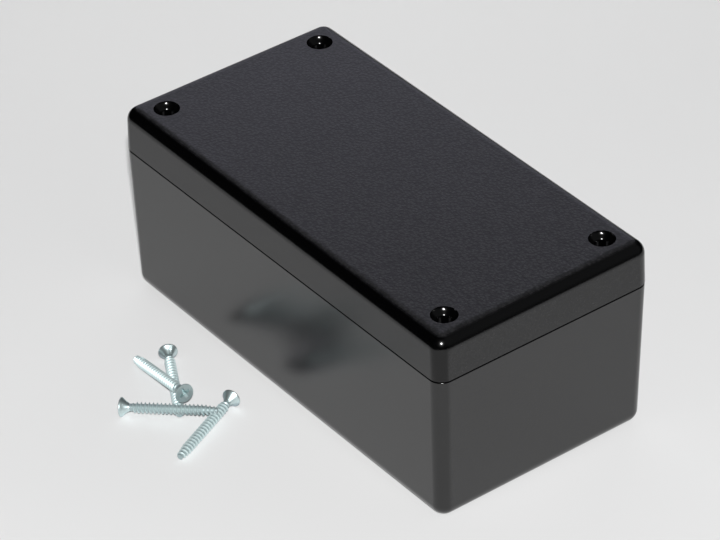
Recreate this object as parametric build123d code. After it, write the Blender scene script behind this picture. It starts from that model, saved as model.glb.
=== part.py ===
from build123d import *
from math import atan, cos, degrees, radians, sin, tan
import os

# A two-piece moulded project box with a screwed lid, and its four lid screws
# lying loose in front of it. Millimetres, +Z up. The origin is on the floor
# under the middle of the box, with the box's length along X.

# Box, outside
box_length = 131.0
box_width = 66.0
box_height = 55.0
lid_height = 12.0
lid_edge_r = 3.7
base_edge_r = 3.6
seam_bevel = 0.2
lid_draft = 1.2
base_draft = 1.2
lid_overhang = 0.08

# Walls
wall = 2.8
floor_thickness = 3.0
top_thickness = 3.0
inner_corner_r = 2.4
inner_bevel = 1.0
lid_cavity_draft = 1.0

# Lap joint between the base and the lid
lip_thickness = 1.35
lip_height = 2.4
lip_side_gap = 0.15
lip_top_gap = 0.3
lip_lead_in = 0.4

# Lid screw posts in the corners
screw_inset = 8.6
post_radius = 4.3
web_thickness = 2.0
web_root = 0.5
pilot_radius = 1.15
pilot_depth = 20.0
clearance_hole_radius = 1.7
countersink_radius = 3.25
countersink_entry = 0.5
countersink_angle = 94.0

# Board guides on the inner walls
guide_pitch = 22.0
guide_slot = 1.9
guide_rib = 1.4
guide_depth = 1.5
guide_below_rim = 5.0
guide_clear_of_posts = 4.0

# Board standoffs on the floor
standoff_radius = 3.0
standoff_height = 5.0
standoff_hole_radius = 1.15
standoff_hole_depth = 5.5
standoff_from_post_x = 11.9
standoff_from_post_y = 4.4

# Lid screws
screw_length = 25.4
head_radius = 2.5
head_rim = 0.3
head_angle = 82.0
neck_radius = 1.1
neck_end = 2.4
thread_radius = 1.45
tip_radius = 0.9
tip_taper = 1.0
cross_span = 3.0
cross_wing = 0.8
cross_depth = 1.4

# Heap of screws in front of the long side: where each one's anchored end is,
# measured from the heap's middle, its turn from +X and its turn about itself
heap_x = -14.0
heap_from_box = 24.0
rest_gap = 0.08
screw_1_tip = (5.1, -0.6)
screw_1_yaw = -28.4
screw_1_roll = 20.0
screw_2_tip = (13.7, 5.0)
screw_2_yaw = 39.5
screw_2_roll = 35.0
screw_3_head = (8.8, 12.8)
screw_3_yaw = -66.6
screw_3_roll = 10.0
screw_4_head = (3.5, 2.2)
screw_4_yaw = 175.4
screw_4_roll = 25.0

# Derived places
seam_z = box_height - lid_height
rim_length = box_length - 2 * lid_overhang
rim_width = box_width - 2 * lid_overhang
post_x = box_length / 2 - screw_inset
post_y = box_width / 2 - screw_inset
posts = [(sx * post_x, sy * post_y) for sx in (-1, 1) for sy in (-1, 1)]
standoff_x = post_x - standoff_from_post_x
standoff_y = post_y - standoff_from_post_y


def moulded_block(length, width, z, height, lean, edge_radius):
    """A drafted block that narrows up or down from z, rounded but for its bevelled rim."""
    up = height > 0
    block = Pos(0, 0, z + height / 2) * Box(length, width, abs(height))
    sides = block.faces().filter_by(Axis.Z, reverse=True)
    block = draft(sides, Plane(origin=(0, 0, z)), lean if up else -lean)
    rim = block.edges().group_by(Axis.Z)[0 if up else -1]
    block = fillet([edge for edge in block.edges() if edge not in rim], edge_radius)
    return chamfer(block.edges().group_by(Axis.Z)[0 if up else -1], seam_bevel)


def hollow(length, width, z, height, lean):
    """The space inside a shell, from its open rim up or down, with a bevelled far end."""
    shrink = 2 * tan(radians(lean)) * (abs(height) - inner_bevel)
    near_end = z + height - inner_bevel * height / abs(height)
    sections = [
        Pos(0, 0, z) * RectangleRounded(length, width, inner_corner_r),
        Pos(0, 0, near_end) * RectangleRounded(length - shrink, width - shrink, inner_corner_r),
        Pos(0, 0, z + height) * RectangleRounded(
            length - shrink - 2 * inner_bevel, width - shrink - 2 * inner_bevel, inner_corner_r - inner_bevel),
    ]
    sections.sort(key=lambda section: section.center().Z)
    return loft(sections, ruled=True)


def plate(length, width, z, height, corner):
    """A rounded plate with upright sides."""
    return extrude(Pos(0, 0, z) * RectangleRounded(length, width, corner), amount=height)


# Base
def base_shell():
    """The open tray: drafted and rounded outside, with a drafted cavity."""
    outside = moulded_block(rim_length, rim_width, seam_z, -seam_z, base_draft, base_edge_r)
    depth = seam_z - floor_thickness
    return outside - hollow(rim_length - 2 * wall, rim_width - 2 * wall, seam_z, -depth, base_draft)


def lip():
    """The raised inner lip that the lid's rebate drops over."""
    length = rim_length - 2 * wall
    width = rim_width - 2 * wall
    outer = plate(length + 2 * lip_thickness, width + 2 * lip_thickness, seam_z - wall / 2,
                  lip_height + wall / 2, inner_corner_r + lip_thickness)
    outer = chamfer(outer.edges().group_by(Axis.Z)[-1], lip_lead_in)
    inner = plate(length, width, seam_z - wall, lip_height + 2 * wall, inner_corner_r)
    return outer - inner


def post(x, y, z, height, wall_x, wall_y):
    """A round screw post tied to both walls of its corner by webs."""
    sx = 1 if x > 0 else -1
    sy = 1 if y > 0 else -1
    column = Pos(x, y, z) * extrude(Circle(post_radius), amount=height)
    reach_x = wall_x - abs(x)
    reach_y = wall_y - abs(y)
    web_x = Pos(x + sx * reach_x / 2, y, z) * extrude(Rectangle(reach_x, web_thickness), amount=height)
    web_y = Pos(x, y + sy * reach_y / 2, z) * extrude(Rectangle(web_thickness, reach_y), amount=height)
    return column + web_x + web_y


def guide(height, lean):
    """One board slot: two upright ribs side by side, standing on the XZ plane."""
    step = (guide_slot + guide_rib) / 2
    rib_depth = guide_depth + lean + web_root
    rib = extrude(Pos(0, rib_depth / 2) * Rectangle(guide_rib, rib_depth), amount=height)
    return Pos(-step, 0, 0) * rib + Pos(step, 0, 0) * rib


def guide_places(half_span):
    """Even places along a wall, kept clear of the posts at its ends."""
    room = half_span - post_radius - guide_clear_of_posts
    count = 1 + 2 * int(room / guide_pitch)
    return [(i - (count - 1) / 2) * guide_pitch for i in range(count)]


def guides():
    """The board guides on all four inner walls."""
    z = floor_thickness - web_root
    lean = (seam_z - floor_thickness) * tan(radians(base_draft))
    pair = guide(seam_z - guide_below_rim - z, lean)
    inner_x = rim_length / 2 - wall - lean - guide_depth
    inner_y = rim_width / 2 - wall - lean - guide_depth
    ribs = []
    for x in guide_places(post_x):
        ribs.append(Pos(x, inner_y, z) * pair)
        ribs.append(Pos(x, -inner_y, z) * Rot(0, 0, 180) * pair)
    for y in guide_places(post_y):
        ribs.append(Pos(-inner_x, y, z) * Rot(0, 0, 90) * pair)
        ribs.append(Pos(inner_x, y, z) * Rot(0, 0, -90) * pair)
    return ribs


def standoffs():
    """Four low posts for a board, each with a blind hole for its screw."""
    z = floor_thickness - web_root
    top = floor_thickness + standoff_height
    column = extrude(Circle(standoff_radius), amount=top - z)
    hole = extrude(Circle(standoff_hole_radius), amount=-standoff_hole_depth)
    solid = []
    holes = []
    for sx in (-1, 1):
        for sy in (-1, 1):
            solid.append(Pos(sx * standoff_x, sy * standoff_y, z) * column)
            holes.append(Pos(sx * standoff_x, sy * standoff_y, top) * hole)
    return solid, holes


def make_base():
    """The tray with its lip, screw posts, board guides and standoffs."""
    part = base_shell() + lip()
    z = floor_thickness - web_root
    wall_x = rim_length / 2 - wall + web_root
    wall_y = rim_width / 2 - wall + web_root
    for x, y in posts:
        part += post(x, y, z, seam_z - z, wall_x, wall_y)
    for rib in guides():
        part += rib
    columns, holes = standoffs()
    for column in columns:
        part += column
    pilot = extrude(Circle(pilot_radius), amount=-pilot_depth)
    for x, y in posts:
        part -= Pos(x, y, seam_z) * pilot
    for hole in holes:
        part -= hole
    return part


# Lid
def lid_shell():
    """The cap: drafted and rounded outside, hollow underneath."""
    outside = moulded_block(box_length, box_width, seam_z, lid_height, lid_draft, lid_edge_r)
    depth = lid_height - top_thickness
    return outside - hollow(box_length - 2 * wall, box_width - 2 * wall, seam_z, depth, lid_cavity_draft)


def rebate():
    """The ring cut in the lid's rim and webs that clears the base's lip."""
    length = rim_length - 2 * wall
    width = rim_width - 2 * wall
    grow = lip_thickness + lip_side_gap
    height = lip_height + lip_top_gap
    outer = plate(length + 2 * grow, width + 2 * grow, seam_z - height, 2 * height, inner_corner_r + grow)
    inner = plate(length - 2 * lip_side_gap, width - 2 * lip_side_gap, seam_z - 2 * height,
                  4 * height, inner_corner_r - lip_side_gap)
    return outer - inner


def screw_hole():
    """A clearance hole with a countersink under a short upright entry, from the lid's top down."""
    half = radians(countersink_angle / 2)
    cone_depth = (countersink_radius - clearance_hole_radius) / tan(half)
    profile = Polyline(
        (0, lid_height),
        (countersink_radius, lid_height),
        (countersink_radius, -countersink_entry),
        (clearance_hole_radius, -countersink_entry - cone_depth),
        (clearance_hole_radius, -2 * lid_height),
        (0, -2 * lid_height),
        close=True,
    )
    return revolve(Plane.XZ * make_face(profile), Axis.Z)


def make_lid():
    """The cap with its screw posts, rebate and countersunk holes."""
    part = lid_shell()
    height = lid_height - top_thickness + web_root
    wall_x = box_length / 2 - wall + web_root
    wall_y = box_width / 2 - wall + web_root
    for x, y in posts:
        part += post(x, y, seam_z, height, wall_x, wall_y)
    part -= rebate()
    for x, y in posts:
        part -= Pos(x, y, box_height) * screw_hole()
    return part


# Screws
def cross_recess():
    """The four-winged driver recess."""
    wings = Rectangle(cross_span, cross_wing) + Rectangle(cross_wing, cross_span)
    return extrude(wings, amount=cross_depth)


def make_screw():
    """One countersunk screw along +Z, its head's face at the origin."""
    half = radians(head_angle / 2)
    cone_end = head_rim + (head_radius - neck_radius) / tan(half)
    full = screw_length - tip_taper
    outline = Polyline(
        (0, 0),
        (head_radius, 0),
        (head_radius, head_rim),
        (neck_radius, cone_end),
        (neck_radius, neck_end),
        (thread_radius, neck_end),
        (thread_radius, full),
        (tip_radius, screw_length),
        (0, screw_length),
        close=True,
    )
    body = revolve(Plane.XZ * make_face(outline), Axis.Z)
    return body - cross_recess()


def line_crossing(p, yaw_p, q, yaw_q):
    """How far along each of two plan lines they cross, from p and from q."""
    a = radians(yaw_p)
    b = radians(yaw_q)
    dx = q[0] - p[0]
    dy = q[1] - p[1]
    turn = cos(a) * sin(b) - sin(a) * cos(b)
    along_p = (dx * sin(b) - dy * cos(b)) / turn
    along_q = (dx * sin(a) - dy * cos(a)) / turn
    return along_p, along_q


def head_of(tip, yaw, drop):
    """Where a screw's head lies in plan when its tip is at this point."""
    run = screw_length * cos(drop)
    return tip[0] - run * cos(radians(yaw)), tip[1] - run * sin(radians(yaw))


def heading(yaw, drop):
    """The way a screw points, head to tip."""
    a = radians(yaw)
    return Vector(cos(a) * cos(drop), sin(a) * cos(drop), -sin(drop))


def step_over(yaw_a, drop_a, yaw_b, drop_b):
    """How much higher one screw's axis passes over another's, so that the threads clear."""
    normal = heading(yaw_a, drop_a).cross(heading(yaw_b, drop_b))
    return (2 * thread_radius + rest_gap) * normal.length / abs(normal.Z)


def lean_up(tip, yaw, over_head, over_yaw, over_drop, over_height):
    """The rise of a screw whose head is on the floor and whose tip lies on another screw."""
    back, along = line_crossing(tip, yaw, over_head, over_yaw)
    rise = 0
    for _ in range(5):
        height = over_height - along * tan(over_drop) + step_over(yaw, -rise, over_yaw, over_drop)
        rise = atan((height - head_radius * cos(rise)) / (screw_length * cos(rise) + back))
    return rise


def lean_down(head, yaw, over_head, over_yaw, over_drop, over_height):
    """The drop and head height of a screw that lies on another, with its tip on the floor."""
    under, along = line_crossing(over_head, over_yaw, head, yaw)
    ends = ((screw_length, tip_radius), (screw_length - tip_taper, thread_radius))
    drop = 0
    for _ in range(5):
        height = over_height - under * tan(over_drop) + step_over(yaw, drop, over_yaw, over_drop)
        drop = min(atan((height - r * cos(drop)) / (s * cos(drop) - along)) for s, r in ends)
    return drop, height + along * tan(drop)


def lay(screw, head, height, yaw, drop, roll):
    """Place the screw with its head's face here, its tip lowered by the drop."""
    middle = Pos(heap_x, -box_width / 2 - heap_from_box, 0)
    turn = Rot(0, 0, yaw) * Rot(0, 90 + degrees(drop), 0) * Rot(0, 0, roll)
    return middle * Pos(head[0], head[1], height) * turn * screw


def make_heap():
    """Screws 1 and 3 lie flat; 2 leans on 3 and passes over 1; 4 leans on 1."""
    screw = make_screw()
    full = screw_length - tip_taper
    flat = atan((head_radius - thread_radius) / (full - head_rim))
    flat_height = head_radius * cos(flat) + head_rim * sin(flat)
    head_1 = head_of(screw_1_tip, screw_1_yaw, flat)
    rise = lean_up(screw_2_tip, screw_2_yaw, screw_3_head, screw_3_yaw, flat, flat_height)
    head_2 = head_of(screw_2_tip, screw_2_yaw, rise)
    drop, height_4 = lean_down(screw_4_head, screw_4_yaw, head_1, screw_1_yaw, flat, flat_height)
    return [
        lay(screw, head_1, flat_height, screw_1_yaw, flat, screw_1_roll),
        lay(screw, head_2, head_radius * cos(rise), screw_2_yaw, -rise, screw_2_roll),
        lay(screw, screw_3_head, flat_height, screw_3_yaw, flat, screw_3_roll),
        lay(screw, screw_4_head, height_4, screw_4_yaw, drop, screw_4_roll),
    ]


os.makedirs("parts", exist_ok=True)
export_step(make_base(), "parts/base.step")
export_step(make_lid(), "parts/lid.step")
for number, placed in enumerate(make_heap(), start=1):
    export_step(placed, f"parts/lid_screw_{number}.step")
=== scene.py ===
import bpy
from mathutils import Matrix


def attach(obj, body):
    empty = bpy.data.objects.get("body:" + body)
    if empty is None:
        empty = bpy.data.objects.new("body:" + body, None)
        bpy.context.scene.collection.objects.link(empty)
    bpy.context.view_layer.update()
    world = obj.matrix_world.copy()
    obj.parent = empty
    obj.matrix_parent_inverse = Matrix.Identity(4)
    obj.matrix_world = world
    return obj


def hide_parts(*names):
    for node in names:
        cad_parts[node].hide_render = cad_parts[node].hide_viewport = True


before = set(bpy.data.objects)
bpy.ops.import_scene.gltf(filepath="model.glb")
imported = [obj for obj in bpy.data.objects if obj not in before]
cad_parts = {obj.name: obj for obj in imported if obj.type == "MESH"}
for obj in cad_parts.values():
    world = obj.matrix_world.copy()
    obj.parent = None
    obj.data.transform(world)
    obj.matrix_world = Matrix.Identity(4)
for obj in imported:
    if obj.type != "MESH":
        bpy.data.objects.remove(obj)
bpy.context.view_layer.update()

from math import cos, pi, radians, sin, tan

import bmesh
import bpy
from mathutils import Matrix, Vector

MM = 0.001
SAME_PLACE = 0.01 * MM

# The box, as in the part's source; the draft is in degrees
BOX_LENGTH = 131.0 * MM
BOX_WIDTH = 66.0 * MM
TOP_HEIGHT = 55.0 * MM
SEAM_HEIGHT = 43.0 * MM
SEAM_BEVEL = 0.2 * MM
DRAFT = 1.2
LID_OVERHANG = 0.08 * MM
LID_EDGE_R = 3.7 * MM
BASE_EDGE_R = 3.6 * MM
HOLE_X = 56.9 * MM
HOLE_Y = 24.4 * MM
HOLE_RADIUS = 3.25 * MM

# The open line between lid and base: how far each rim's outer edge dips, and each edge's bevel
BASE_DIP = 0.50 * MM
LID_DIP = 0.12 * MM
BASE_BEVEL = 0.15 * MM
LID_BEVEL = 0.07 * MM

# The flared mouths of the lid's holes
MOUTH_RADIUS = 3.42 * MM
MOUTH_ROOM = 0.05 * MM

# Shading: faces that meet in fewer degrees shade as one, and how straight a flat face has to be
SHELL_SMOOTH = 50.0
SCREW_SMOOTH = 32.0
FLAT_ROOM = 0.4
DRAFT_ROOM = 0.2
LEAN_ROOM = 0.004

# Points nearer than this are welded into one
WELD_SHELL = 0.001 * MM
WELD_THREAD = 0.002 * MM
WELD_SCREW = 0.003 * MM

# The lid screws' heads
SCREW_LENGTH = 25.4 * MM
HEAD_RADIUS = 2.5 * MM
HEAD_RIM = 0.3 * MM
HEAD_EDGE = 0.08 * MM
HEAD_ANGLE = 82.0
HEAD_HOLLOW = 0.16 * MM
CONE_STEPS = 8
FACE_RING = 0.9 * MM
NECK_RADIUS = 1.1 * MM
NECK_END = 2.4 * MM
NECK_FILLET = 0.25 * MM
NECK_TAPER = 0.3 * MM

# Their cross recesses: at the face and at the floor, where the wings are shorter and thinner
RECESS_SPAN = 1.5 * MM
RECESS_WING = 0.42 * MM
RECESS_DEPTH = 1.55 * MM
RECESS_ABOVE = 0.1 * MM
FACE_SPAN_SHARE = 1.06
FLOOR_SPAN_SHARE = 0.30
FLOOR_WING_SHARE = 0.55

# Their threads; a ridge's foot and top are shares of the pitch from its crest
THREAD_RADIUS = 1.45 * MM
ROOT_RADIUS = 0.98 * MM
THREAD_PITCH = 1.06 * MM
RUN_IN = 2.0 * MM
RUN_OUT_SHARE = 0.14
RIDGE_FOOT = 0.25
RIDGE_TOP = 0.02
TIP_TAPER = 3.6 * MM
TIP_SHARE = 0.68
ROUND = 48
ROWS_PER_TURN = 8

# The crest value of the smooth head and neck; it fades in between the two values of HEAD_FADE
HEAD_MARK = 1.5
HEAD_FADE = (1.05, 1.4)

# Where each screw lies: head's face in mm, turn from +X, drop of its tip, turn about itself
SCREW_PLACES = {
    "lid_screw_1": ((-31.222, -45.531, 2.511), -28.4, 2.495, 20.0),
    "lid_screw_2": ((-19.782, -68.060, 2.485), 39.5, -6.259, 35.0),
    "lid_screw_3": ((-5.200, -44.200, 2.511), -66.6, 2.495, 10.0),
    "lid_screw_4": ((-10.500, -54.800, 5.897), 175.4, 10.558, -20.0),
}

# The moulded plastic's grain, in cells per metre, its depth and its gloss
TOP_GRAIN = 1250.0
SIDE_GRAIN = 1900.0
SIDE_GRAIN_SHARE = 0.35
GRAIN_DEPTH = 0.12 * MM
GRAIN_STRENGTH = 0.6
POLISH_ROUGH = 0.14
TONE_ROUGH = 0.06
TOP_ROUGH = 0.20
SIDE_ROUGH = 0.02

# The zinc plating's unevenness and gloss; a thread is duller than the head
PLATE_GRAIN = 3500.0
PLATE_DEPTH = 0.03 * MM
PLATE_STRENGTH = 0.25
PLATE_ROUGH = 0.26
PLATE_TONE = 0.24
THREAD_DULL = 0.10
THREAD_METAL = 0.62
HEAD_METAL = 0.90

# The table, the paper that the gloss mirrors, and the card behind the box
TABLE_REACH = 3.0
TABLE_LEVEL = -0.6 * MM
PAPER_LOW = (-0.33, -0.245)
PAPER_HIGH = (0.37, 0.30)
PAPER_LEVEL = -0.2 * MM
CARD_MIDDLE = (-0.30, 0.22, 0.0)
CARD_WAY = (0.59, 0.81, 0.0)
CARD_REACH = 0.22
CARD_FOOT = 0.12
CARD_TOP = 0.30

# The painted shadow round the heap of screws, a dark paper: its outline, in mm, and its level
SHADE_OUTLINE = [
    (-35, -41), (-38.5, -47), (-36, -52.5), (-30, -56.5),
    (-22, -59.5), (-15, -61), (-7, -58.5), (-3, -56),
    (-1, -50), (-2, -44), (-4, -40.5), (-8, -39.5),
    (-12, -41.5), (-16, -46), (-22, -47), (-27, -44.5),
]
SHADE_LEVEL = -0.1 * MM

# The studio: which way its glow lies, where the glow starts and is full, and both levels
GLOW_WAY = (0.62, 0.52, 0.58)
GLOW_FADE = (0.70, 0.97)
ROOM_LEVEL = 0.012
GLOW_LEVEL = 0.17

# The lamp and the camera, as fitted to the box
LAMP_PLACE = (1.244, -0.863, 1.266)
LAMP_AIM = (0, 0, 0.03)
LAMP_SIZE = 0.065
LAMP_POWER = 52.7
CAMERA_PLACE = (655.16, -490.47, 619.33)
CAMERA_FORWARD = (-0.65094, 0.48062, -0.58760)
CAMERA_UP = (-0.45482, 0.37282, 0.80879)
CAMERA_LENS = 199.9
SENSOR_WIDTH = 36.0
NEAR_CLIP = 0.05
FAR_CLIP = 20.0

# A Mix node's sockets for colours
MIX_SHARE = 0
MIX_A = 6
MIX_B = 7
MIX_RESULT = 2


# Node helpers
def add(tree, kind, inputs=None, **settings):
    """A node of this kind with its settings, and its inputs set or linked."""
    node = tree.nodes.new(kind)
    for name, value in settings.items():
        setattr(node, name, value)
    for key, value in (inputs or {}).items():
        if isinstance(value, bpy.types.NodeSocket):
            tree.links.new(value, node.inputs[key])
        else:
            node.inputs[key].default_value = value
    return node


def maths(tree, operation, a, b=0.0, c=0.0):
    """One sum on numbers or sockets, giving its result socket."""
    return add(tree, "ShaderNodeMath", {0: a, 1: b, 2: c}, operation=operation).outputs[0]


def ramp(tree, value, low, high, to_low=0.0, to_high=1.0):
    """A smooth step from low to high."""
    inputs = {
        "Value": value,
        "From Min": low,
        "From Max": high,
        "To Min": to_low,
        "To Max": to_high,
    }
    return add(tree, "ShaderNodeMapRange", inputs, interpolation_type="SMOOTHSTEP").outputs[0]


def noise(tree, vector, scale, detail):
    """A noise texture of this scale and detail."""
    inputs = {"Vector": vector, "Scale": scale, "Detail": detail}
    return add(tree, "ShaderNodeTexNoise", inputs)


def mix_colour(tree, share, a, b):
    """Blend two colours by a share."""
    inputs = {MIX_SHARE: share, MIX_A: a, MIX_B: b}
    return add(tree, "ShaderNodeMix", inputs, data_type="RGBA").outputs[MIX_RESULT]


def new_group(name, kind, inputs, outputs):
    """An empty node group with named sockets; returns it with its input and output nodes."""
    tree = bpy.data.node_groups.new(name, kind)
    for label, socket, value in inputs:
        item = tree.interface.new_socket(label, in_out="INPUT", socket_type=socket)
        if value is not None:
            item.default_value = value
    for label, socket in outputs:
        tree.interface.new_socket(label, in_out="OUTPUT", socket_type=socket)
    return tree, tree.nodes.new("NodeGroupInput"), tree.nodes.new("NodeGroupOutput")


# Shared surface effects
def moulded_grain_group():
    """Pebbled leather-like grain of a spark-eroded mould, as height, tone and pebble mask."""
    tree, ins, outs = new_group(
        "moulded grain",
        "ShaderNodeTree",
        [
            ("Vector", "NodeSocketVector", None),
            ("Scale", "NodeSocketFloat", 900.0),
            ("Fine", "NodeSocketFloat", 3.0),
        ],
        [
            ("Height", "NodeSocketFloat"),
            ("Tone", "NodeSocketFloat"),
            ("Pebble", "NodeSocketFloat"),
        ],
    )
    bend_reach = 0.9 * MM
    pebble_part = 0.7
    grit_part = 0.45
    broad_part = 0.06
    pebble_fade = (0.45, 0.85)
    vector = ins.outputs["Vector"]
    scale = ins.outputs["Scale"]

    bend = noise(tree, vector, scale, 2.0).outputs["Color"]
    bend_inputs = {0: bend, "Scale": bend_reach}
    shift = add(tree, "ShaderNodeVectorMath", bend_inputs, operation="SCALE").outputs[0]
    moved = add(tree, "ShaderNodeVectorMath", {0: vector, 1: shift}, operation="ADD").outputs[0]
    cells = add(tree, "ShaderNodeTexVoronoi", {"Vector": moved, "Scale": scale})
    pebble = maths(tree, "SUBTRACT", 1.0, cells.outputs["Distance"])
    fine = maths(tree, "MULTIPLY", scale, ins.outputs["Fine"])
    grit = maths(tree, "MULTIPLY", noise(tree, vector, fine, 3.0).outputs["Fac"], grit_part)
    height = maths(tree, "MULTIPLY_ADD", pebble, pebble_part, grit)
    broad = noise(tree, vector, maths(tree, "MULTIPLY", scale, broad_part), 3.0)

    tree.links.new(height, outs.inputs["Height"])
    tree.links.new(broad.outputs["Fac"], outs.inputs["Tone"])
    tree.links.new(ramp(tree, height, *pebble_fade), outs.inputs["Pebble"])
    return tree


def flat_faces_group():
    """Masks for the flat top and the flat sides, fading out where an edge starts to round."""
    tree, ins, outs = new_group(
        "flat faces",
        "ShaderNodeTree",
        [("Normal", "NodeSocketVector", None)],
        [
            ("Top", "NodeSocketFloat"),
            ("Sides", "NodeSocketFloat"),
            ("Upright", "NodeSocketFloat"),
        ],
    )
    top_fade = (0.85, 1.0)
    side_fade = (0.95, 0.998)
    lean_fade = (0.32, 0.04)
    corner_share = 0.4
    side_share = 0.6
    parts = add(tree, "ShaderNodeSeparateXYZ", {0: ins.outputs["Normal"]})
    along, across, lean = (maths(tree, "ABSOLUTE", part) for part in parts.outputs)
    sides = ramp(tree, maths(tree, "MAXIMUM", along, across), *side_fade)
    even = maths(tree, "MULTIPLY_ADD", sides, side_share, corner_share)
    upright = maths(tree, "MULTIPLY", ramp(tree, lean, *lean_fade), even)
    tree.links.new(ramp(tree, parts.outputs[2], *top_fade), outs.inputs["Top"])
    tree.links.new(sides, outs.inputs["Sides"])
    tree.links.new(upright, outs.inputs["Upright"])
    return tree


def dust_group():
    """A few tiny pale specks of dust."""
    tree, ins, outs = new_group(
        "dust",
        "ShaderNodeTree",
        [
            ("Vector", "NodeSocketVector", None),
            ("Scale", "NodeSocketFloat", 60.0),
            ("Size", "NodeSocketFloat", 0.03),
            ("Clean", "NodeSocketFloat", 0.965),
        ],
        [("Mask", "NodeSocketFloat")],
    )
    cell_inputs = {
        "Vector": ins.outputs["Vector"],
        "Scale": ins.outputs["Scale"],
        "Randomness": 1.0,
    }
    cells = add(tree, "ShaderNodeTexVoronoi", cell_inputs)
    near_inputs = {
        "Value": cells.outputs["Distance"],
        "From Min": ins.outputs["Size"],
        "From Max": 0.0,
    }
    near = add(tree, "ShaderNodeMapRange", near_inputs).outputs[0]
    chance = add(tree, "ShaderNodeSeparateXYZ", {0: cells.outputs["Color"]}).outputs[0]
    few = maths(tree, "GREATER_THAN", chance, ins.outputs["Clean"])
    tree.links.new(maths(tree, "MULTIPLY", near, few), outs.inputs["Mask"])
    return tree


# Materials
def new_material(name):
    """A material with a plain Principled shader; returns it, its tree and the shader."""
    material = bpy.data.materials.new(name)
    material.use_nodes = True
    tree = material.node_tree
    tree.nodes.clear()
    shader = tree.nodes.new("ShaderNodeBsdfPrincipled")
    out = tree.nodes.new("ShaderNodeOutputMaterial")
    tree.links.new(shader.outputs[0], out.inputs[0])
    return material, tree, shader


def grey(level, blue=1.0):
    """An opaque grey, with its blue raised by a factor."""
    return (level, level, level * blue, 1.0)


def use_group(tree, group, vector, scale=None):
    """This group's node at a vector, with its scale set where one is given."""
    node = add(tree, "ShaderNodeGroup", node_tree=group)
    tree.links.new(vector, node.inputs[0])
    if scale is not None:
        node.inputs["Scale"].default_value = scale
    return node


def black_abs(name, grain, faces, dust, side_mask, top_share, side_grey, gloss):
    """Black moulded plastic: grained flat faces, polished rounded edges and a little dust.

    side_mask names the mask of the sides, top_share says how far the top is grained, side_grey
    is the sides' grey and gloss their index of refraction."""
    material, tree, shader = new_material(name)
    place = tree.nodes.new("ShaderNodeTexCoord")
    vector = place.outputs["Object"]
    flat = use_group(tree, faces, place.outputs["Normal"])
    top = maths(tree, "MULTIPLY", flat.outputs["Top"], top_share)
    sides = flat.outputs[side_mask]
    pebble = use_group(tree, grain, vector, TOP_GRAIN)
    satin = use_group(tree, grain, vector, SIDE_GRAIN)
    speck = use_group(tree, dust, vector)

    top_height = maths(tree, "MULTIPLY", pebble.outputs["Height"], top)
    side_height = maths(tree, "MULTIPLY", satin.outputs["Height"], sides)
    height = maths(tree, "MULTIPLY_ADD", side_height, SIDE_GRAIN_SHARE, top_height)
    bump_inputs = {"Strength": GRAIN_STRENGTH, "Distance": GRAIN_DEPTH, "Height": height}
    bump = add(tree, "ShaderNodeBump", bump_inputs)
    tree.links.new(bump.outputs[0], shader.inputs["Normal"])

    top_rough = maths(tree, "MULTIPLY", top, TOP_ROUGH)
    rough = maths(tree, "MULTIPLY_ADD", sides, SIDE_ROUGH, top_rough)
    uneven = maths(tree, "MULTIPLY_ADD", pebble.outputs["Tone"], TONE_ROUGH, POLISH_ROUGH)
    tree.links.new(maths(tree, "ADD", rough, uneven), shader.inputs["Roughness"])

    polished = grey(0.0004, 1.25)
    top_low = grey(0.0100, 1.08)
    top_high = grey(0.0250, 1.056)
    side_low = grey(side_grey * 0.75, 1.04)
    side_high = grey(side_grey * 1.25, 1.032)
    dusty = (0.20, 0.19, 0.18, 1.0)
    top_colour = mix_colour(tree, pebble.outputs["Pebble"], top_low, top_high)
    side_colour = mix_colour(tree, satin.outputs["Pebble"], side_low, side_high)
    body = mix_colour(tree, sides, polished, side_colour)
    body = mix_colour(tree, top, body, top_colour)
    body = mix_colour(tree, speck.outputs["Mask"], body, dusty)
    tree.links.new(body, shader.inputs["Base Color"])
    shader.inputs["IOR"].default_value = gloss
    return material


def zinc_plate(grain):
    """Bright zinc plating: cool, slightly uneven, with painted shade down in the threads."""
    material, tree, shader = new_material("bright zinc plating")
    vector = tree.nodes.new("ShaderNodeTexCoord").outputs["Object"]
    uneven = use_group(tree, grain, vector, PLATE_GRAIN)
    tone = uneven.outputs["Tone"]
    crest = add(tree, "ShaderNodeAttribute", attribute_name="crest").outputs["Fac"]

    cool = (0.57, 0.69, 0.71, 1.0)
    greenish = (0.64, 0.75, 0.74, 1.0)
    # Painted shade: the thread roots get a darker colour by their crest value, standing in for
    # the shade between crests
    root_shade = (0.31, 0.39, 0.40, 1.0)
    root_shade_fade = (-0.3, 0.75)
    plated = mix_colour(tree, tone, cool, greenish)
    colour = mix_colour(tree, ramp(tree, crest, *root_shade_fade), root_shade, plated)
    tree.links.new(colour, shader.inputs["Base Color"])

    rough = maths(tree, "MULTIPLY_ADD", tone, PLATE_TONE, PLATE_ROUGH)
    dull = ramp(tree, crest, *HEAD_FADE, THREAD_DULL, 0.0)
    tree.links.new(maths(tree, "ADD", rough, dull), shader.inputs["Roughness"])
    metal = ramp(tree, crest, *HEAD_FADE, THREAD_METAL, HEAD_METAL)
    tree.links.new(metal, shader.inputs["Metallic"])

    bump_inputs = {
        "Strength": PLATE_STRENGTH,
        "Distance": PLATE_DEPTH,
        "Height": uneven.outputs["Height"],
    }
    bump = add(tree, "ShaderNodeBump", bump_inputs)
    tree.links.new(bump.outputs[0], shader.inputs["Normal"])
    return material


def cool_card():
    """The card that the box's top mirrors: cool in the gloss, plain in the light it spreads."""
    material, tree, shader = new_material("cool card")
    mirrored = tree.nodes.new("ShaderNodeLightPath").outputs["Is Glossy Ray"]
    plain = (0.76, 0.76, 0.755, 1.0)
    cool = (0.79, 0.79, 0.96, 1.0)
    tree.links.new(mix_colour(tree, mirrored, plain, cool), shader.inputs["Base Color"])
    shader.inputs["Roughness"].default_value = 0.8
    return material


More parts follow.
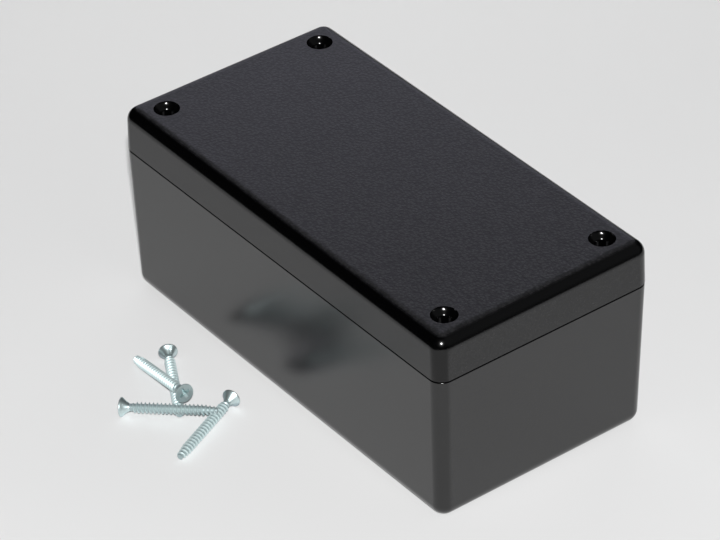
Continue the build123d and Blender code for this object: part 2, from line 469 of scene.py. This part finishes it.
def shaded_paper():
    """Painted shadow: a darker paper under the screws that the box's gloss mirrors, standing in
    for the heap's shadows.
    """
    material, _, shader = new_material("shaded paper")
    shader.inputs["Base Color"].default_value = (0.40, 0.40, 0.43, 1.0)
    shader.inputs["Roughness"].default_value = 0.8
    return material


def pale_paper():
    """The pale sheet that everything stands on."""
    material, tree, shader = new_material("pale paper")
    vector = tree.nodes.new("ShaderNodeTexCoord").outputs["Object"]
    clouds = noise(tree, vector, scale=7.0, detail=3.0).outputs["Fac"]
    cool = (0.765, 0.765, 0.767, 1.0)
    warm = (0.80, 0.80, 0.798, 1.0)
    tree.links.new(mix_colour(tree, clouds, cool, warm), shader.inputs["Base Color"])
    shader.inputs["Roughness"].default_value = 0.75
    return material


# Meshes
def mesh_object(name, mesh, material=None):
    """A new object at the origin for this mesh."""
    piece = bpy.data.objects.new(name, mesh)
    bpy.context.scene.collection.objects.link(piece)
    if material:
        mesh.materials.clear()
        mesh.materials.append(material)
    return piece


def plain_copy(piece):
    """The mesh that an object's modifiers make; the object goes."""
    graph = bpy.context.evaluated_depsgraph_get()
    made = bpy.data.meshes.new_from_object(piece.evaluated_get(graph))
    bpy.data.objects.remove(piece)
    return made


def lathe(profile, steps):
    """A turned shape from (radius, height) pairs; a radius of zero closes an end."""
    work = bmesh.new()
    rings = []
    for radius, height in profile:
        if radius == 0:
            rings.append([work.verts.new((0, 0, height))])
            continue
        ring = []
        for i in range(steps):
            angle = 2 * pi * i / steps
            ring.append(work.verts.new((radius * cos(angle), radius * sin(angle), height)))
        rings.append(ring)
    for low, high in zip(rings, rings[1:]):
        for i in range(steps):
            j = i + 1
            corners = [low[i % len(low)], low[j % len(low)]]
            corners += [high[j % len(high)], high[i % len(high)]]
            unique = list(dict.fromkeys(corners))
            if len(unique) > 2:
                work.faces.new(unique)
    return work


# The lid screws
def threaded_shank_tree(material):
    """Geometry nodes: a helical thread on a tapering core, closed at its tip."""
    tree, ins, outs = new_group(
        "threaded shank",
        "GeometryNodeTree",
        [
            ("Crest Radius", "NodeSocketFloat", THREAD_RADIUS),
            ("Root Radius", "NodeSocketFloat", ROOT_RADIUS),
            ("Pitch", "NodeSocketFloat", THREAD_PITCH),
            ("Start", "NodeSocketFloat", NECK_END),
            ("End", "NodeSocketFloat", SCREW_LENGTH),
            ("Run In", "NodeSocketFloat", RUN_IN),
            ("Tip Taper", "NodeSocketFloat", TIP_TAPER),
            ("Tip Share", "NodeSocketFloat", TIP_SHARE),
            ("Round", "NodeSocketInt", ROUND),
            ("Rows per Turn", "NodeSocketInt", ROWS_PER_TURN),
            ("Material", "NodeSocketMaterial", material),
        ],
        [("Geometry", "NodeSocketGeometry")],
    )
    value = ins.outputs
    start = value["Start"]
    end = value["End"]
    pitch = value["Pitch"]
    rows = value["Rows per Turn"]

    # A flat grid, one column for each step round and enough rows for every turn
    pitches = maths(tree, "DIVIDE", maths(tree, "SUBTRACT", end, start), pitch)
    turns = maths(tree, "ADD", maths(tree, "CEIL", pitches), 1.0)
    down = maths(tree, "MULTIPLY_ADD", turns, rows, 1.0)
    around = maths(tree, "ADD", value["Round"], 1.0)
    grid = add(tree, "GeometryNodeMeshGrid", {"Vertices X": around, "Vertices Y": down})

    # Each point's row climbs along the helix and its column goes round
    index = tree.nodes.new("GeometryNodeInputIndex").outputs[0]
    row = maths(tree, "MODULO", index, down)
    middle = maths(tree, "ADD", index, 0.5)
    column = maths(tree, "FLOOR", maths(tree, "DIVIDE", middle, down))
    part_turn = maths(tree, "DIVIDE", column, value["Round"])
    angle = maths(tree, "MULTIPLY", part_turn, 2 * pi)
    turn = maths(tree, "DIVIDE", row, rows)
    climb = maths(tree, "ADD", turn, maths(tree, "SUBTRACT", part_turn, 1.0))
    free_height = maths(tree, "MULTIPLY_ADD", climb, pitch, start)
    height = maths(tree, "MINIMUM", maths(tree, "MAXIMUM", free_height, start), end)

    # The ridge stands halfway between two roots, fades in at the neck and out at the tip
    safe_turn = maths(tree, "ADD", turn, 0.001)
    phase = maths(tree, "FRACT", safe_turn)
    off_crest = maths(tree, "ABSOLUTE", maths(tree, "SUBTRACT", phase, 0.5))
    ridge_inputs = {"Value": off_crest, "From Min": RIDGE_FOOT, "From Max": RIDGE_TOP}
    ridge = add(tree, "ShaderNodeMapRange", ridge_inputs).outputs[0]
    to_end = maths(tree, "SUBTRACT", end, height)
    run_in = ramp(tree, maths(tree, "SUBTRACT", height, start), 0.0, value["Run In"])
    run_out_length = maths(tree, "MULTIPLY", value["Run In"], RUN_OUT_SHARE)
    run_out = ramp(tree, to_end, 0.0, run_out_length)
    ridge = maths(tree, "MULTIPLY", ridge, maths(tree, "MULTIPLY", run_in, run_out))
    depth = maths(tree, "SUBTRACT", value["Crest Radius"], value["Root Radius"])
    full = maths(tree, "MULTIPLY_ADD", ridge, depth, value["Root Radius"])

    # The whole shank tapers to its tip
    slim_inputs = {
        "Value": to_end,
        "From Min": 0.0,
        "From Max": value["Tip Taper"],
        "To Min": value["Tip Share"],
    }
    slim = add(tree, "ShaderNodeMapRange", slim_inputs).outputs[0]
    radius = maths(tree, "MULTIPLY", full, slim)
    x = maths(tree, "MULTIPLY", radius, maths(tree, "COSINE", angle))
    y = maths(tree, "MULTIPLY", radius, maths(tree, "SINE", angle))
    place = add(tree, "ShaderNodeCombineXYZ", {0: x, 1: y, 2: height}).outputs[0]
    wound_inputs = {"Geometry": grid.outputs["Mesh"], "Position": place}
    wound = add(tree, "GeometryNodeSetPosition", wound_inputs)

    # A flat cap closes the tip
    tip_radius = maths(tree, "MULTIPLY", value["Root Radius"], value["Tip Share"])
    cap_inputs = {"Vertices": value["Round"], "Radius": tip_radius}
    cap = add(tree, "GeometryNodeMeshCircle", cap_inputs, fill_type="NGON").outputs[0]
    cap_place = add(tree, "ShaderNodeCombineXYZ", {2: end}).outputs[0]
    moved_inputs = {"Geometry": cap, "Translation": cap_place}
    cap_moved = add(tree, "GeometryNodeTransform", moved_inputs)
    both = tree.nodes.new("GeometryNodeJoinGeometry")
    tree.links.new(wound.outputs[0], both.inputs[0])
    tree.links.new(cap_moved.outputs[0], both.inputs[0])
    weld_inputs = {"Geometry": both.outputs[0], "Distance": WELD_THREAD}
    welded = add(tree, "GeometryNodeMergeByDistance", weld_inputs).outputs[0]
    real = add(tree, "GeometryNodeRealizeInstances", {"Geometry": welded}).outputs[0]
    paint_inputs = {"Geometry": real, "Material": value["Material"]}
    painted = add(tree, "GeometryNodeSetMaterial", paint_inputs)
    tree.links.new(painted.outputs[0], outs.inputs[0])
    return tree


def grow_mesh(name, tree, values):
    """Run a geometry node tree once and keep its plain mesh."""
    maker = mesh_object(name + " maker", bpy.data.meshes.new(name + " maker"))
    modifier = maker.modifiers.new("maker", "NODES")
    modifier.node_group = tree
    for item in tree.interface.items_tree:
        if item.in_out == "INPUT" and item.name in values:
            modifier[item.identifier] = values[item.name]
    return plain_copy(maker)


def head_profile():
    """Radius and height of the turned head and neck, from the face's middle to the thread."""
    cone_end = HEAD_RIM + (HEAD_RADIUS - NECK_RADIUS) / tan(radians(HEAD_ANGLE / 2))
    cone_height = cone_end + NECK_FILLET - HEAD_RIM
    profile = [
        (0, 0),
        (FACE_RING, 0),
        (HEAD_RADIUS - 2.5 * HEAD_EDGE, 0),
        (HEAD_RADIUS - HEAD_EDGE, 0),
        (HEAD_RADIUS - 0.3 * HEAD_EDGE, 0.3 * HEAD_EDGE),
        (HEAD_RADIUS, HEAD_EDGE),
        (HEAD_RADIUS, HEAD_RIM - 0.5 * HEAD_EDGE),
        (HEAD_RADIUS - 0.4 * HEAD_EDGE, HEAD_RIM + 0.4 * HEAD_EDGE),
    ]
    for i in range(1, CONE_STEPS + 1):
        share = i / CONE_STEPS
        hollow = HEAD_HOLLOW * sin(pi * share) * (1 - 0.4 * share)
        radius = HEAD_RADIUS + (NECK_RADIUS - HEAD_RADIUS) * share - hollow
        profile.append((max(radius, NECK_RADIUS), HEAD_RIM + cone_height * share))
    profile.append((NECK_RADIUS, NECK_END - NECK_TAPER))
    profile.append((ROOT_RADIUS, NECK_END))
    return profile


def cross_cutter():
    """The driver's shape: two crossed blades, together four wings that taper to the floor."""
    work = bmesh.new()
    face = (RECESS_SPAN * FACE_SPAN_SHARE, RECESS_WING, -RECESS_ABOVE)
    floor = (RECESS_SPAN * FLOOR_SPAN_SHARE, RECESS_WING * FLOOR_WING_SHARE, RECESS_DEPTH)
    signs = ((1, 1), (-1, 1), (-1, -1), (1, -1))
    for turned in (False, True):
        corners = []
        for span, wing, z in (face, floor):
            a, b = (wing, span) if turned else (span, wing)
            corners.append([work.verts.new((sx * a, sy * b, z)) for sx, sy in signs])
        low, high = corners
        work.faces.new(low)
        work.faces.new(high[::-1])
        for i in range(4):
            j = (i + 1) % 4
            work.faces.new((low[j], low[i], high[i], high[j]))
    bmesh.ops.recalc_face_normals(work, faces=work.faces)
    mesh = bpy.data.meshes.new("driver shape")
    work.to_mesh(mesh)
    work.free()
    return mesh_object("driver shape", mesh)


def screw_mesh(zinc):
    """One whole screw along +Z, its head's face at the origin."""
    shank = grow_mesh("threaded shank", threaded_shank_tree(zinc), {"Material": zinc})
    work = lathe(head_profile(), ROUND)
    work.from_mesh(shank)
    bmesh.ops.remove_doubles(work, verts=work.verts, dist=WELD_SCREW)
    bmesh.ops.recalc_face_normals(work, faces=work.faces)
    mesh = bpy.data.meshes.new("screw")
    work.to_mesh(mesh)
    work.free()
    blank = mesh_object("screw blank", mesh, zinc)
    cutter = cross_cutter()
    cut = blank.modifiers.new("driver recess", "BOOLEAN")
    cut.operation = "DIFFERENCE"
    cut.solver = "EXACT"
    cut.use_self = True
    cut.object = cutter
    made = plain_copy(blank)
    bpy.data.objects.remove(cutter)
    return made


def mark_crests(mesh):
    """Store how near each point is to a thread's crest; the smooth head and neck lie above 1."""
    smooth_end = NECK_END + 0.05 * MM
    crest = mesh.attributes.new("crest", "FLOAT", "POINT")
    for vert in mesh.vertices:
        x, y, z = vert.co
        if z < smooth_end:
            crest.data[vert.index].value = HEAD_MARK
            continue
        slim = TIP_SHARE + (1 - TIP_SHARE) * min(1.0, (SCREW_LENGTH - z) / TIP_TAPER)
        over = (x * x + y * y) ** 0.5 / slim - ROOT_RADIUS
        crest.data[vert.index].value = over / (THREAD_RADIUS - ROOT_RADIUS)


def make_screws(zinc):
    """The four loose lid screws, each in its solid's place."""
    master = screw_mesh(zinc)
    mark_crests(master)
    for node, (head, yaw, drop, roll) in SCREW_PLACES.items():
        mesh = master.copy()
        turn = Matrix.Rotation(radians(yaw), 4, "Z") @ Matrix.Rotation(radians(90 + drop), 4, "Y")
        turn = turn @ Matrix.Rotation(radians(roll), 4, "Z")
        mesh.transform(Matrix.Translation(Vector(head) * MM) @ turn)
        screw = mesh_object("detailed_" + node, mesh, zinc)
        mesh.shade_smooth()
        mesh.set_sharp_from_angle(angle=radians(SCREW_SMOOTH))
        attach(screw, "base")
        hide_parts(node)


# The moulded shells
def inside_outline(x, y, half_x, half_y, radius):
    """How far a point lies inside a rounded rectangle, and which way is out."""
    over_x = abs(x) - (half_x - radius)
    over_y = abs(y) - (half_y - radius)
    side_x = 1.0 if x > 0 else -1.0
    side_y = 1.0 if y > 0 else -1.0
    if over_x > 0 and over_y > 0:
        reach = (over_x * over_x + over_y * over_y) ** 0.5
        return radius - reach, (side_x * over_x / reach, side_y * over_y / reach)
    if over_x > over_y:
        return radius - over_x, (side_x, 0.0)
    return radius - over_y, (0.0, side_y)


def open_seam(work, overhang, radius, up, dip, bevel):
    """Narrow one rim's bevel and lower its outer edge; up is 1 for the lid, -1 for the base.

    The bevel's inner points lie on the rim, one bevel inside the outline, and its outer points
    on the side, one bevel off the seam."""
    half_x = BOX_LENGTH / 2 - overhang
    half_y = BOX_WIDTH / 2 - overhang
    for vert in work.verts:
        x, y, z = vert.co
        depth, out = inside_outline(x, y, half_x, half_y, radius)
        on_rim = abs(z - SEAM_HEIGHT) < SAME_PLACE
        on_side = abs(z - SEAM_HEIGHT - up * SEAM_BEVEL) < SAME_PLACE
        if on_rim and 0.5 * SEAM_BEVEL < depth < 1.5 * SEAM_BEVEL:
            shift = depth - bevel
            vert.co = (x + shift * out[0], y + shift * out[1], SEAM_HEIGHT - dip)
        if on_side and depth < 0.25 * SEAM_BEVEL:
            vert.co.z = SEAM_HEIGHT - dip + up * bevel


def on_top(vert):
    """Whether a point lies on the lid's flat top."""
    return abs(vert.co.z - TOP_HEIGHT) < SAME_PLACE


def flare_holes(work):
    """Widen the mouths of the lid's holes a little, with even triangles round them."""
    top = [face for face in work.faces if all(on_top(vert) for vert in face.verts)]
    flat = set(top)
    inner = [edge for edge in work.edges if all(side in flat for side in edge.link_faces)]
    if top:
        bmesh.ops.beautify_fill(work, faces=top, edges=inner, method="ANGLE")
    for vert in filter(on_top, work.verts):
        x, y, z = vert.co
        middle = Vector((HOLE_X if x > 0 else -HOLE_X, HOLE_Y if y > 0 else -HOLE_Y, z))
        away = vert.co - middle
        if abs(away.length - HOLE_RADIUS) < MOUTH_ROOM:
            vert.co = middle + away.normalized() * MOUTH_RADIUS


def is_flat(normal):
    """Whether a face belongs to a flat top, bottom or side, drafted or upright."""
    straight = cos(radians(FLAT_ROOM))
    steep = max(abs(normal.x), abs(normal.y))
    leans = abs(abs(normal.z) - sin(radians(DRAFT))) < LEAN_ROOM
    drafted = leans and steep > cos(radians(DRAFT + DRAFT_ROOM))
    return drafted or steep > straight or abs(normal.z) > straight


def even_normals(mesh):
    """Let flat faces keep their own direction up to their edges, and rounded ones follow them."""
    same = cos(radians(SHELL_SMOOTH))
    faces_at = [[] for vert in mesh.vertices]
    for face in mesh.polygons:
        for vert in face.vertices:
            faces_at[vert].append(face.index)
    direction = [face.normal.copy() for face in mesh.polygons]
    flat = [is_flat(normal) for normal in direction]
    size = [face.area ** 0.5 for face in mesh.polygons]
    normals = []
    for face in mesh.polygons:
        own = direction[face.index]
        for vert in face.vertices:
            near = [i for i in faces_at[vert] if direction[i].dot(own) > same]
            leading = [i for i in near if flat[i]] or near
            if flat[face.index]:
                leading = [face.index]
            total = Vector((0, 0, 0))
            for i in leading:
                total += direction[i] * size[i]
            normals.append(total.normalized())
    mesh.normals_split_custom_set(normals)


def finish_shell(node, body, plastic, overhang, radius, up, dip, bevel):
    """A shell with its solid's own shape, an open line at its rim and smooth rounded edges."""
    work = bmesh.new()
    work.from_mesh(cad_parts[node].data)
    bmesh.ops.remove_doubles(work, verts=work.verts, dist=WELD_SHELL)
    open_seam(work, overhang, radius, up, dip, bevel)
    flare_holes(work)
    mesh = bpy.data.meshes.new(node + " shell")
    work.to_mesh(mesh)
    work.free()
    mesh.shade_smooth()
    mesh.set_sharp_from_angle(angle=radians(SHELL_SMOOTH))
    even_normals(mesh)
    shell = mesh_object("moulded_" + node, mesh, plastic)
    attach(shell, body)
    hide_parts(node)


def finish_shells(grain):
    """The moulded base and lid."""
    faces = flat_faces_group()
    dust = dust_group()
    shared = (grain, faces, dust)
    base_look = {"side_mask": "Upright", "top_share": 0.0, "side_grey": 0.011, "gloss": 1.55}
    lid_look = {"side_mask": "Sides", "top_share": 1.0, "side_grey": 0.013, "gloss": 1.40}
    base_plastic = black_abs("black base plastic", *shared, **base_look)
    lid_plastic = black_abs("black lid plastic", *shared, **lid_look)
    base_rim = (LID_OVERHANG, BASE_EDGE_R, -1, BASE_DIP, BASE_BEVEL)
    lid_rim = (0.0, LID_EDGE_R, 1, LID_DIP, LID_BEVEL)
    finish_shell("base", "base", base_plastic, *base_rim)
    finish_shell("lid", "lid", lid_plastic, *lid_rim)


# Surroundings
def flat_mesh(name, corners):
    """A mesh of one flat face."""
    mesh = bpy.data.meshes.new(name)
    mesh.from_pydata(corners, [], [tuple(range(len(corners)))])
    return mesh


def plane(name, low, high, z, material):
    """A flat sheet between two corners."""
    left, front = low
    right, back = high
    corners = [(left, front, z), (right, front, z), (right, back, z), (left, back, z)]
    sheet = mesh_object(name, flat_mesh(name, corners), material)
    return sheet


def make_floor():
    """A pale table that fills the view, and the smaller sheet that the gloss mirrors."""
    paper = pale_paper()
    low = (-TABLE_REACH, -TABLE_REACH)
    high = (TABLE_REACH, TABLE_REACH)
    table = plane("table", low, high, TABLE_LEVEL, paper)
    table.visible_glossy = False
    plane("paper_sheet", PAPER_LOW, PAPER_HIGH, PAPER_LEVEL, paper)


def make_card(material):
    """A card behind the box, out of the camera's sight; the gloss mirrors it above its foot."""
    middle = Vector(CARD_MIDDLE)
    along = Vector(CARD_WAY) * CARD_REACH
    ground = Vector()
    foot = Vector((0, 0, CARD_FOOT))
    rise = Vector((0, 0, CARD_TOP))
    for name, low, high in (("card", foot, rise), ("card_foot", ground, foot)):
        near = middle - along
        far = middle + along
        corners = [near + low, far + low, far + high, near + high]
        card = mesh_object(name, flat_mesh(name, corners), material)
        card.visible_camera = False
        card.visible_shadow = False
        card.visible_glossy = name == "card"


def make_heap_shade(material):
    """A painted shadow round the heap of screws: a darker patch seen only in the gloss of the
    box's side.
    """
    corners = [(x * MM, y * MM, SHADE_LEVEL) for x, y in reversed(SHADE_OUTLINE)]
    patch = mesh_object("heap_shade", flat_mesh("heap shade", corners), material)
    patch.visible_camera = False
    patch.visible_diffuse = False
    patch.visible_shadow = False


def make_world():
    """A dim studio with a faint glow to the right of the box's back."""
    world = bpy.data.worlds.new("studio")
    bpy.context.scene.world = world
    world.use_nodes = True
    tree = world.node_tree
    tree.nodes.clear()
    way = tree.nodes.new("ShaderNodeTexCoord").outputs["Generated"]
    toward = add(tree, "ShaderNodeVectorMath", {0: way, 1: GLOW_WAY}, operation="DOT_PRODUCT")
    level = ramp(tree, toward.outputs["Value"], *GLOW_FADE, ROOM_LEVEL, GLOW_LEVEL)
    shade_inputs = {"Color": (0.97, 0.985, 1.0, 1.0), "Strength": level}
    shade = add(tree, "ShaderNodeBackground", shade_inputs)
    out = tree.nodes.new("ShaderNodeOutputWorld")
    tree.links.new(shade.outputs[0], out.inputs[0])


def make_lamp():
    """One small soft lamp beside the camera."""
    data = bpy.data.lights.new("lamp by the camera", "AREA")
    data.shape = "DISK"
    data.size = LAMP_SIZE
    data.energy = LAMP_POWER
    lamp = bpy.data.objects.new("lamp by the camera", data)
    lamp.location = LAMP_PLACE
    lamp.rotation_mode = "QUATERNION"
    way = Vector(LAMP_AIM) - Vector(LAMP_PLACE)
    lamp.rotation_quaternion = way.to_track_quat("-Z", "Y")
    bpy.context.scene.collection.objects.link(lamp)


def make_camera():
    """The camera that the photograph was taken with, as fitted to the box."""
    data = bpy.data.cameras.new("camera")
    camera = bpy.data.objects.new("camera", data)
    bpy.context.scene.collection.objects.link(camera)
    data.sensor_width = SENSOR_WIDTH
    data.lens = CAMERA_LENS
    data.clip_start = NEAR_CLIP
    data.clip_end = FAR_CLIP
    forward = Vector(CAMERA_FORWARD).normalized()
    right = forward.cross(Vector(CAMERA_UP)).normalized()
    up = right.cross(forward)
    turn = Matrix((right, up, -forward)).transposed().to_4x4()
    camera.rotation_mode = "QUATERNION"
    camera.rotation_quaternion = turn.to_quaternion()
    camera.location = Vector(CAMERA_PLACE) * MM
    bpy.context.scene.camera = camera


def main():
    """Build the looks round the fixed frame."""
    make_camera()
    grain = moulded_grain_group()
    finish_shells(grain)
    make_screws(zinc_plate(grain))
    make_floor()
    make_card(cool_card())
    make_heap_shade(shaded_paper())
    make_world()
    make_lamp()
    bpy.context.scene.view_settings.view_transform = "Standard"


main()
